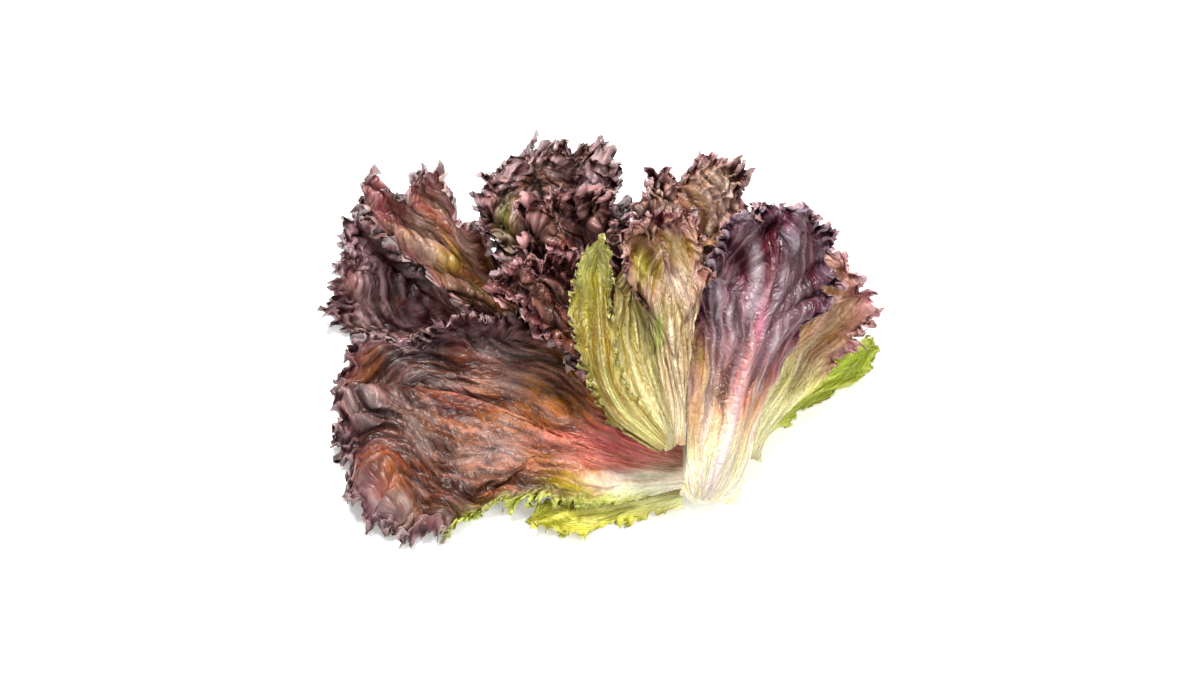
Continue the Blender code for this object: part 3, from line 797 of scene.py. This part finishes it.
def normals_of(points, faces):
    a, b, c = (points[faces[:, k]] for k in range(3))
    flat = np.cross(b - a, c - a)
    total = [
        sum(np.bincount(faces[:, k], flat[:, axis], len(points)) for k in range(3)) for axis in range(3)
    ]
    return unit(np.stack(total, axis=1))


def fine_rows(reach):
    """Rows from midrib to margin, closer near the margin, each with its share of the margin's columns."""
    rows, inset = [], 0.0
    widest = ZONES[0][1]
    for _, share, pitch in ZONES[::-1]:
        stop = reach if share == widest else next(zone[0] for zone in ZONES if zone[1] == share * 2)
        while inset < min(stop, reach) - 1e-6:
            rows.append((1 - inset / reach, share))
            inset += pitch
    rows.append((0.0, rows[-1][1]))
    return tuple(rows[::-1])


def coarse_lift(leaf, blade, lift, u, v):
    """The lift that the frame's own leaf has, read smoothly between its points."""
    heights = np.array([at for at, _ in ROWS])
    tables = []
    for row, (at, share) in enumerate(ROWS):
        count = leaf.columns // 2 // share
        place = np.arange(-count, count + 1)
        here = place / count
        tooth = (row == len(ROWS) - 1) * (-1.0) ** place
        values = read_lift(lift, here, blade.toothed(here, np.full(len(here), at), tooth))
        ends = np.pad(values, 1, mode="edge")
        values = (ends[:-2] + 2 * ends[1:-1] + ends[2:]) / 4
        where = np.clip((u + 1) * count, 0, 2 * count)
        low = np.minimum(where.astype(int), 2 * count - 1)
        share_on = smooth_step(where - low)
        tables.append(values[low] * (1 - share_on) + values[low + 1] * share_on)
    tables = np.array(tables)
    row = np.clip(np.searchsorted(heights, v, side="right") - 1, 0, len(ROWS) - 2)
    share_on = smooth_step((v - heights[row]) / (heights[row + 1] - heights[row]))
    here = np.arange(len(u))
    return tables[row, here] * (1 - share_on) + tables[row + 1, here] * share_on


def falling(distance, depth):
    return np.clip(1 - distance / depth, 0, 1)


def with_drawn_foot(leaf, look, shape, flat):
    """The shape with its foot drawn to the stem and the foot's corners rounded."""
    foot = np.array(leaf.foot, float)
    near = falling(np.linalg.norm(flat - foot, axis=1), FOOT_REACH) ** 1.5
    shape = shape + near[:, None] * np.array(look.drawn)
    if look.rounded:
        ahead = unit(np.array(leaf.midrib[0], float) - foot)
        beside = np.array([-ahead[1], ahead[0], 0.0]) * 2 / leaf.width
        near = falling((flat - foot) @ ahead, CORNER_REACH) ** 2
        corner = near * np.clip(np.abs((flat - foot) @ beside), 0, 1.2) ** 3
        inward = ahead * np.array([1, 1, 0]) + np.array([0, 0, 0.3])
        shape = shape + look.rounded * corner[:, None] * inward
    return shape


def veins_of(blade, look, here, seed):
    """Adds the veins, which fan out from the foot: each point's bearing and distance from there on the
    unrolled blade, how near it is to a vein, and the folds between the veins."""
    u, v, reach = here.u, here.v, here.reach
    ahead = (1 - np.abs(u)) * blade.midrib_length + v * reach * VEIN_AHEAD
    across = v * reach * VEIN_ACROSS * np.where(u < 0, -1.0, 1.0)
    far = np.hypot(ahead + FAN_ROOT, across)
    bearing = np.arctan2(across, ahead + FAN_ROOT)
    bearing = (
        bearing
        + 0.06 * noise(far / 30, bearing * 3, seed + 1)
        + 0.012 * noise(far / 9, bearing * 12, seed + 2)
    )
    gap = math.radians(look.vein_turn)
    q = bearing / gap
    away = np.abs(q - np.rint(q)) * gap * far
    here.main_vein = bell(away, 0.6 + 1.0 * np.exp(-far / 60))
    between = 2 * q + 0.5
    away = np.abs(between - np.rint(between)) * gap / 2 * far
    minor_vein = bell(away, 0.5) * ease(far, 30, 25)
    here.veins = np.maximum(here.main_vein, 0.6 * minor_vein)
    here.from_midrib = v * reach
    here.midrib = bell(here.from_midrib, 1.4 + 3.4 * np.abs(u)) * smooth_step(far / 20)
    here.folds = [noise(q * knots, far / long, seed + number) for knots, long, number, *_ in FOLDS]
    here.across_leaf, here.far, here.bearing, here.q = across, far, bearing, q


def with_folds(look, here, shape, faces, seed):
    """The shape with bulges drawn out along the veins, sharp creases between them, and raised ribs."""
    far, inset = here.far, here.inset
    outer = ease(far, 60, 70)
    here.bulges = sum(
        (low + more * outer) * np.abs(fold) for (_, _, _, low, more, _, _), fold in zip(FOLDS, here.folds)
    )
    body = smooth_step((1 - np.abs(here.u)) / 0.2) * smooth_step(far / 40)
    body = body * (0.35 + 0.65 * smooth_step(inset / 20)) * smooth_step(here.from_midrib / 6)
    on_left = ease(here.across_leaf, 4, 30) * ease(far, 40, 40)
    body = body * (1 + look.fold_gain * on_left)
    broad = noise(here.q * 0.4, far / 40, seed + 6)
    hump = look.wrinkle * body * (here.bulges + 1.5 * broad - 0.5 * here.veins)
    rise, rib_reach = look.ribs
    ribs = here.midrib + 0.7 * here.main_vein * np.exp(-far / rib_reach)
    ribs = rise * ribs * smooth_step(np.abs(here.u) / 0.1)
    here.body = np.minimum(body, 1)
    return shape + normals_of(shape, faces) * (hump + ribs * smooth_step(far / 14))[:, None]


def with_crinkles(look, here, shape, seed):
    """The shape with crinkles all over the blade's outer part."""
    along_x, along_y = here.bearing * (here.far + 20), here.far
    coarse = np.abs(noise(along_x / 7, along_y / 17, seed + 8))
    here.knot = coarse + 0.5 * np.abs(noise(along_x / 3.4, along_y / 9, seed + 9))
    knotted = look.crinkle * ease(here.far, 18, 30)
    return shape + here.lie * (CRINKLE_RISE * knotted * (here.knot - 0.45))[:, None]


def with_frill(look, here, shape, faces, seed):
    """The shape with the outline's lobes and three orders of frill, each steepest at the margin."""
    place, inset, margin = here.place, here.inset, here.margin
    still = inset * 0
    lobe = np.abs(noise(place / 15, still + 2.5, seed + 14)) ** 0.7 * 2 - 0.9
    lobe = look.lobes * lobe * falling(inset, LOBE_DEPTH) * margin
    shape = shape + here.outward * lobe[:, None]
    here.relief = np.zeros(len(place))
    curl, curl_depth = look.curl
    for of_curl, of_wave, of_depth, following, number in CURLS:
        size, wave, depth = curl * of_curl, CURL_WAVE * of_wave, curl_depth * of_depth
        turn = 2 * math.pi * (place / wave + 1.1 * noise(place / wave / 2.3, inset / 8, seed + number))
        share = falling(inset, depth) ** 1.5 * margin
        share = share * (0.9 + 0.7 * noise(place / wave / 1.4, still + 0.5, seed + number + 1))
        pleat = np.arcsin(PLEAT * np.sin(turn)) / math.asin(PLEAT)
        here.relief = here.relief + share * pleat * of_curl
        local = normals_of(shape, faces)
        local = local * np.sign(np.sum(local * here.lie, axis=1))[:, None]
        way = unit(here.lie + following * local)
        shape = shape + way * (size * share * pleat)[:, None]
        shape = shape - here.across * (0.10 * wave * share * np.sin(2 * turn))[:, None]
        shape = shape + here.outward * (0.45 * size * share * np.cos(turn + 0.8))[:, None]
    roll = falling(inset, ROLL_DEPTH) ** 2 * margin
    roll = roll * noise(place / 14, still + 5.5, seed + 43)
    return shape + here.lie * (curl * 1.3 * roll)[:, None]


def inner_neighbour(shape, u, v, rows_with_teeth=14):
    """For each point near the margin, the place of the blade one row nearer to the midrib."""
    rows = np.unique(np.round(v, 7))
    inner = shape.copy()
    at_row = np.searchsorted(rows, np.round(v, 7))
    for row in range(max(1, len(rows) - rows_with_teeth), len(rows)):
        here, before = np.flatnonzero(at_row == row), np.flatnonzero(at_row == row - 1)
        before = before[np.argsort(u[before])]
        for axis in range(3):
            inner[here, axis] = np.interp(u[here], u[before], shape[before, axis])
    return inner


def with_teeth(look, here, shape, seed):
    """The shape with large and small teeth, drawn out along the frilled blade."""
    place = here.place
    still = here.inset * 0
    tooth = np.zeros(len(place))
    for of_height, of_pitch in TOOTH_SIZES:
        height, pitch = look.teeth[0] * of_height, look.teeth[1] * of_pitch
        phase = place / pitch + 0.6 * noise(place / pitch / 1.7, still + 3.1, seed + 19)
        whole = np.floor(phase).astype(np.int64)
        part = phase - whole
        tall = 0.25 + 1.1 * hashed(whole, 7, seed) ** 1.5
        peak = 0.35 + 0.3 * hashed(whole, 9, seed)
        spike = np.where(part < peak, part / peak, (1 - part) / (1 - peak)) ** 1.7
        tooth = tooth + height * tall * (spike - 0.3)
    out = unit(shape - inner_neighbour(shape, here.u, here.v) + 0.3 * here.outward)
    tooth = tooth * falling(here.inset, TOOTH_DEPTH) ** 1.3 * here.margin
    return shape + out * tooth[:, None]


def ramp_of(stops, at):
    places = [place for place, _ in stops]
    colours = np.array([linear(text) for _, text in stops])
    return np.stack([np.interp(at, places, colours[:, k]) for k in range(3)], axis=1)


def coloured(leaf, look, here, shape, seed):
    """The colour of each point, as linear light, with painted shade in creases and hollows and painted
    highlights on bulges, crests and edges.
    """
    q, far, inset, place, body = here.q, here.far, here.inset, here.place, here.body
    reached = np.linalg.norm(here.flat - np.array(leaf.foot, float), axis=1)
    at = reached / reached.max()
    at = at + 0.06 * layered(q * 0.8, far / 34, seed + 23)
    colour = ramp_of(look.ramp, at)

    def mix(text, strength, share):
        nonlocal colour
        colour = colour + (linear(text) - colour) * np.clip(strength * share, 0, 1)[:, None]

    # Patches, flushes and spots; some of the spots are painted shade and some painted highlights
    patches = smooth_step(0.5 + 0.9 * layered(q * 0.7, far / 34, seed + 29))
    mix(*look.patch, patches * ease(at, look.patch_from, 0.2))
    flushes = smooth_step(0.45 + 1.1 * noise(q * 1.1, far / 20, seed + 61))
    mix(*look.flush, flushes * ease(at, 0.3, 0.3))
    seen = SEEN_DEPTH * shape[:, 1] + SEEN_HEIGHT * shape[:, 2]
    for seen_x, seen_y, wide, tall, text, strength in look.spots:
        dx = (CAMERA_MIDDLE[0] + shape[:, 0] / MM_PER_PIXEL - seen_x) / wide
        dy = (CAMERA_MIDDLE[1] - seen / MM_PER_PIXEL - seen_y) / tall
        spread = np.hypot(dx, dy) + 0.35 * layered(q * 1.2, far / 24, seed + 37)
        mix(text, strength, smooth_step(1.3 - spread))

    # Painted shade in the creases, and a broken painted sheen on the bulges between them
    folded = min(1.0, look.wrinkle)
    creases = sum(deep_shade * bell(fold, wide) for (*_, wide, deep_shade), fold in zip(FOLDS, here.folds))
    shaded_creases = np.clip(creases, 0, 1) * body * ease(at, 0.12, 0.3) * folded
    mix(look.crease_shade, 0.85, shaded_creases)
    proud = smooth_step((here.bulges / 3.0 - 0.35) / 0.35) * body * ease(at, 0.2, 0.3) * folded
    zone = smooth_step(0.42 + 1.3 * noise(q * 0.9, far / 42, seed + 53))
    lines = 0.45 + 0.55 * smooth_step(0.5 + 1.2 * noise(q * 11, far / 9, seed + 51))
    bright = 0.3 + 0.7 * smooth_step((colour @ LUMA - 0.01) / 0.05)
    shine = PAINTED_SHINE * (0.3 + 0.7 * proud) * zone * lines * bright * body * ease(at, 0.25, 0.3)
    mix(*look.painted_sheen, shine)

    # Veins, and streaks along them
    mix(*look.vein, (1 - 0.6 * ease(at, 0.25, 0.5)) * here.veins * smooth_step(at / 0.08))
    mix(look.vein[0], 0.45, here.midrib * (1 - at))
    streak = 1 + 0.42 * noise(q * 6, far / 26, seed + 47) + 0.36 * noise(q * 14, far / 14, seed + 48)
    colour = colour * streak[:, None]

    # The margin, painted sheen on the frill's crests and the crinkles, painted shade in its hollows and
    # pits, the painted highlight along the pale edge, and the bands on one side
    rim, rim_width = look.rim
    ragged = inset + 2.5 * noise(place / 6, inset / 6, seed + 31)
    mix(rim, 0.85, bell(np.maximum(ragged, 0), rim_width, 1.6) * here.margin)
    crest = np.clip(here.relief, -1, 1)
    crinkled = np.minimum(look.crinkle, 1)
    crest_sheen_share = np.clip(crest, 0, 1) + crinkled * ease(here.knot, 0.45, 0.4)
    mix(*look.painted_sheen, 0.42 * np.clip(crest_sheen_share, 0, 1))
    shaded_pits = crinkled * smooth_step(1 - here.knot / 0.28) * ease(far, 18, 30)
    mix(look.deep_shade, 0.88, np.clip(np.clip(-crest, 0, 1) + shaded_pits, 0, 1))
    # A painted highlight along the thin pale edge of the margin
    mix(look.edge, 0.7, bell(inset, 0.9) * here.margin)
    for which, start, stop, text, width in look.side:
        along = which * here.u
        inside = ease(along, start, BAND_END) * smooth_step((stop - along) / BAND_END)
        spread = ragged + 4 * noise(place / 18, inset / 20, seed + 37)
        mix(text, 1.0, inside * bell(np.maximum(spread, 0), width, 2.2))
    speck = 1 + 0.08 * noise(place / 1.3, inset / 1.3, seed + 41)
    grey = (colour @ LUMA)[:, None]
    return np.clip((grey + (colour - grey) * VIVID) * speck[:, None], 0.002, 1)


def dressed(leaf, blade, lift, look):
    """A leaf's fine surface, the colour of each point, and its place among the veins for the material."""
    reaches = blade.plain(np.linspace(-0.8, 0.8, 33), np.ones(33))[1]
    columns = int((blade.left_length + blade.right_length) / FINE / 8) * 8
    u, v, _, faces = grid_of(columns, fine_rows(float(np.percentile(reaches, 80))))
    seed = leaf.seed * 101
    flat, reach = blade.plain(u, v)
    here = SimpleNamespace(u=u, v=v, flat=flat, reach=reach, inset=(1 - v) * reach)
    here.place = np.where(u > 0, u * blade.left_length, u * blade.right_length)
    calm, full = look.frilled
    here.margin = ease(1 - np.abs(u), calm, full - calm)
    here.outward = unit(flat - blade.plain(u, v - 0.04)[0])
    after, before = np.minimum(u + 0.004, 1), np.maximum(u - 0.004, -1)
    here.across = unit(blade.plain(after, v)[0] - blade.plain(before, v)[0])
    lie = unit(np.cross(here.outward, here.across))
    here.lie = lie * np.sign(lie[:, 2])[:, None]

    waves = CALM_SHARE + (1 - CALM_SHARE) * here.margin
    shape = flat + (blade.waved(u, v) - flat) * waves[:, None]
    shape[:, 2] = np.maximum(shape[:, 2], CLEAR_BEFORE)
    shape = raised(shape, coarse_lift(leaf, blade, lift, u, v))
    shape = with_drawn_foot(leaf, look, shape, flat)
    veins_of(blade, look, here, seed)
    shape = with_folds(look, here, shape, faces, seed)
    shape = with_crinkles(look, here, shape, seed)
    shape = with_frill(look, here, shape, faces, seed)
    shape = with_teeth(look, here, shape, seed)
    shape[:, 2] = np.maximum(shape[:, 2], CLEAR_AFTER)
    along_leaf = np.stack([here.bearing * 70, here.far, here.inset], axis=1)
    return shape, faces, coloured(leaf, look, here, shape, seed), along_leaf


def set_inputs(tree, node, values):
    """Sets a node's sockets to constants, or links them to other nodes' sockets."""
    for key, value in values.items():
        if isinstance(value, bpy.types.NodeSocket):
            tree.links.new(value, node.inputs[key])
        else:
            node.inputs[key].default_value = value


def new_material(name):
    """A material, with a function that sets its shader and one that adds a node."""
    made = bpy.data.materials.new(name)
    made.use_nodes = True
    tree = made.node_tree

    def shade(values):
        set_inputs(tree, tree.nodes["Principled BSDF"], values)

    def add(kind, values=None, **settings):
        node = tree.nodes.new("ShaderNode" + kind)
        for key, value in settings.items():
            setattr(node, key, value)
        set_inputs(tree, node, values or {})
        return node

    return made, shade, add


def leaf_material(name, look):
    """Leaf tissue: the colour of each point, with a net of the finest veins, grain and a damp shine."""
    made, shade, add = new_material(name)
    tint = add("Attribute", attribute_name="tint").outputs["Color"]
    place = add("Attribute", attribute_name="along_leaf").outputs["Vector"]
    cells = add("VectorMath", {0: place, 1: (1.0, 0.55, 0.0)}, operation="MULTIPLY").outputs[0]
    warp = add("TexNoise", {"Vector": cells, "Scale": 0.35, "Detail": 2.0}).outputs["Color"]
    cells = add("VectorMath", {0: warp, 1: (2.2, 2.2, 0.0), 2: cells}, operation="MULTIPLY_ADD").outputs[0]
    web = add("TexVoronoi", {"Vector": cells, "Scale": 0.42}, feature="DISTANCE_TO_EDGE")
    edge = add("MapRange", {"Value": web.outputs["Distance"], "From Max": 0.22}).outputs["Result"]
    speck = add("TexNoise", {"Vector": place, "Scale": 1.1, "Detail": 3.0}).outputs["Fac"]
    specks = {"Value": speck, "From Min": 0.3, "From Max": 0.7, "To Min": 0.82, "To Max": 1.18}
    specked = add("MapRange", specks).outputs["Result"]
    net = add("MapRange", {"Value": edge, "To Min": 1.12, "To Max": 0.98}).outputs["Result"]
    both = add("Math", {0: specked, 1: net}, operation="MULTIPLY").outputs[0]
    scaled = add("VectorMath", {0: tint, "Scale": both}, operation="SCALE").outputs[0]
    drawn_out = add("VectorMath", {0: place, 1: (1.0, 0.28, 0.0)}, operation="MULTIPLY").outputs[0]
    grains = {"Vector": drawn_out, "Scale": 0.85, "Detail": 3.0, "Distortion": 0.6}
    grain = add("TexNoise", grains).outputs["Fac"]
    relief = add("Math", {0: grain, 1: 2.2, 2: edge}, operation="MULTIPLY_ADD").outputs[0]
    bump = add("Bump", {"Height": relief, "Strength": 0.65, "Distance": 0.0007}).outputs["Normal"]
    damp = {"Value": speck, "To Min": look.rough - 0.06, "To Max": look.rough + 0.14}
    rough = add("MapRange", damp).outputs["Result"]
    shade({
        "Base Color": scaled, "Normal": bump, "Roughness": rough, "Specular IOR Level": 0.5,
        "Subsurface Weight": 0.12, "Subsurface Radius": (1.0, 0.5, 0.2), "Subsurface Scale": 0.002,
    })
    return made


def stem_material():
    """Pale flesh, with a soft grain in its colour and surface."""
    made, shade, add = new_material("stem_flesh")
    where = add("TexCoord").outputs["Object"]
    grain = add("TexNoise", {"Vector": where, "Scale": 160.0, "Detail": 4.0}).outputs["Fac"]
    ramp = add("ValToRGB", {"Fac": grain})
    for element, text, place in zip(ramp.color_ramp.elements, ("e6dcb4", "faf6e0"), (0.35, 0.6)):
        element.color = (*linear(text), 1)
        element.position = place
    bump = add("Bump", {"Height": grain, "Distance": 0.0004, "Strength": 0.4}).outputs["Normal"]
    shade({
        "Base Color": ramp.outputs["Color"], "Normal": bump, "Roughness": 0.42,
        "Subsurface Weight": 0.25, "Subsurface Radius": (1.0, 0.8, 0.4), "Subsurface Scale": 0.003,
    })
    return made


def add_object(name, data):
    made = bpy.data.objects.new(name, data)
    bpy.context.scene.collection.objects.link(made)
    return made


def add_piece(name, points, faces, material_made, node):
    """Adds a piece that takes the place of the frame's node."""
    mesh = bpy.data.meshes.new(name)
    mesh.from_pydata(in_row_frame(points).tolist(), [], faces.tolist())
    mesh.shade_smooth()
    mesh.materials.append(material_made)
    piece = add_object(name, mesh)
    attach(piece, "root")
    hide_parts(node)
    return mesh


def fine_leaf(leaf, blade, lift):
    look = LOOKS[leaf.name]
    name = leaf.name.replace("leaf", "blade")
    shape, faces, colour, along_leaf = dressed(leaf, blade, lift, look)
    mesh = add_piece(name, shape, faces, leaf_material(name, look), leaf.name)
    tint = np.hstack([colour, np.ones((len(colour), 1))])
    for field, kind, key, values in (
        ("tint", "FLOAT_COLOR", "color", tint), ("along_leaf", "FLOAT_VECTOR", "vector", along_leaf),
    ):
        made = mesh.attributes.new(field, kind, "POINT")
        made.data.foreach_set(key, values.ravel().astype(np.float32))


def fine_stem():
    """The cut stem, with a flat cut end and shallow ribs."""
    butt = np.array(STEM_BUTT)
    ahead, side = direction(STEM_HEADING), direction(STEM_HEADING + 90)
    up = np.array([0.0, 0.0, 1.0])
    far = np.linspace(0, STEM_STATIONS[-1], STEM_RINGS)
    radius = np.interp(far, STEM_STATIONS, STEM_RADII)
    radii = np.concatenate([np.linspace(0.0, 1.0, CUT_RINGS)[:-1] * radius[0], radius])
    reach = np.concatenate([np.zeros(CUT_RINGS - 1), far])
    turn = np.linspace(0, 2 * math.pi, STEM_AROUND, endpoint=False)
    ribbed = sum((rise * np.sin(number * turn + start) for number, start, rise in STEM_RIBS), 1.0)
    rings = []
    for r, f in zip(radii, reach):
        ring = np.minimum(r * ribbed, r)
        rings.append(
            butt + f * ahead + (ring * np.cos(turn))[:, None] * side + (ring * np.sin(turn))[:, None] * up
        )
    rings.append(np.array([butt + far[-1] * ahead] * STEM_AROUND))
    n = np.arange(STEM_AROUND)
    first = STEM_AROUND * np.arange(len(rings) - 1)[:, None]
    a, b = first + n, first + (n + 1) % STEM_AROUND
    c, d = b + STEM_AROUND, a + STEM_AROUND
    faces = np.stack([a, b, c, a, c, d], axis=-1).reshape(-1, 3)
    add_piece("stem_flesh", np.vstack(rings), faces, stem_material(), "stem")


def add_floor():
    mesh = bpy.data.meshes.new("floor")
    corners = ((-1, -1), (1, -1), (1, 1), (-1, 1))
    mesh.from_pydata([(FLOOR_HALF * x, FLOOR_HALF * y, 0) for x, y in corners], [], [(0, 1, 2, 3)])
    made = add_object("floor", mesh)
    made.location.z = -FLOOR_DROP
    paper, shade, _ = new_material("floor")
    shade({
        "Base Color": (0.93, 0.93, 0.93, 1), "Roughness": 0.9,
        "Emission Color": (1, 1, 1, 1), "Emission Strength": 0.28,
    })
    mesh.materials.append(paper)


def add_light(name, size, power, place):
    lamp = bpy.data.lights.new(name, "AREA")
    lamp.shape = "DISK"
    lamp.size = size
    lamp.energy = power
    made = add_object(name, lamp)
    made.location = place
    made.rotation_euler = (Vector(place) - Vector(LIGHT_AIM)).to_track_quat("Z", "Y").to_euler()


def add_camera():
    rise = math.radians(CAMERA_ELEVATION)
    away = np.array([0.0, -math.cos(rise), math.sin(rise)])
    made = add_object("camera", bpy.data.cameras.new("camera"))
    made.data.lens = CAMERA_LENS
    made.data.sensor_width = CAMERA_SENSOR
    made.location = in_row_frame(np.array(CAMERA_TARGET)) + CAMERA_DISTANCE * away
    made.rotation_euler = Vector(away).to_track_quat("Z", "Y").to_euler()
    bpy.context.scene.camera = made


def add_world():
    world = bpy.data.worlds.new("studio")
    world.use_nodes = True
    light = world.node_tree.nodes["Background"]
    light.inputs["Color"].default_value = (1, 1, 1, 1)
    light.inputs["Strength"].default_value = WORLD_STRENGTH
    bpy.context.scene.world = world


bpy.context.scene.view_settings.view_transform = "Standard"
add_world()
add_floor()
add_camera()
for light in LIGHTS:
    add_light(*light)
fine_stem()
for laid_leaf in pile_up():
    fine_leaf(*laid_leaf)
bpy.context.view_layer.update()
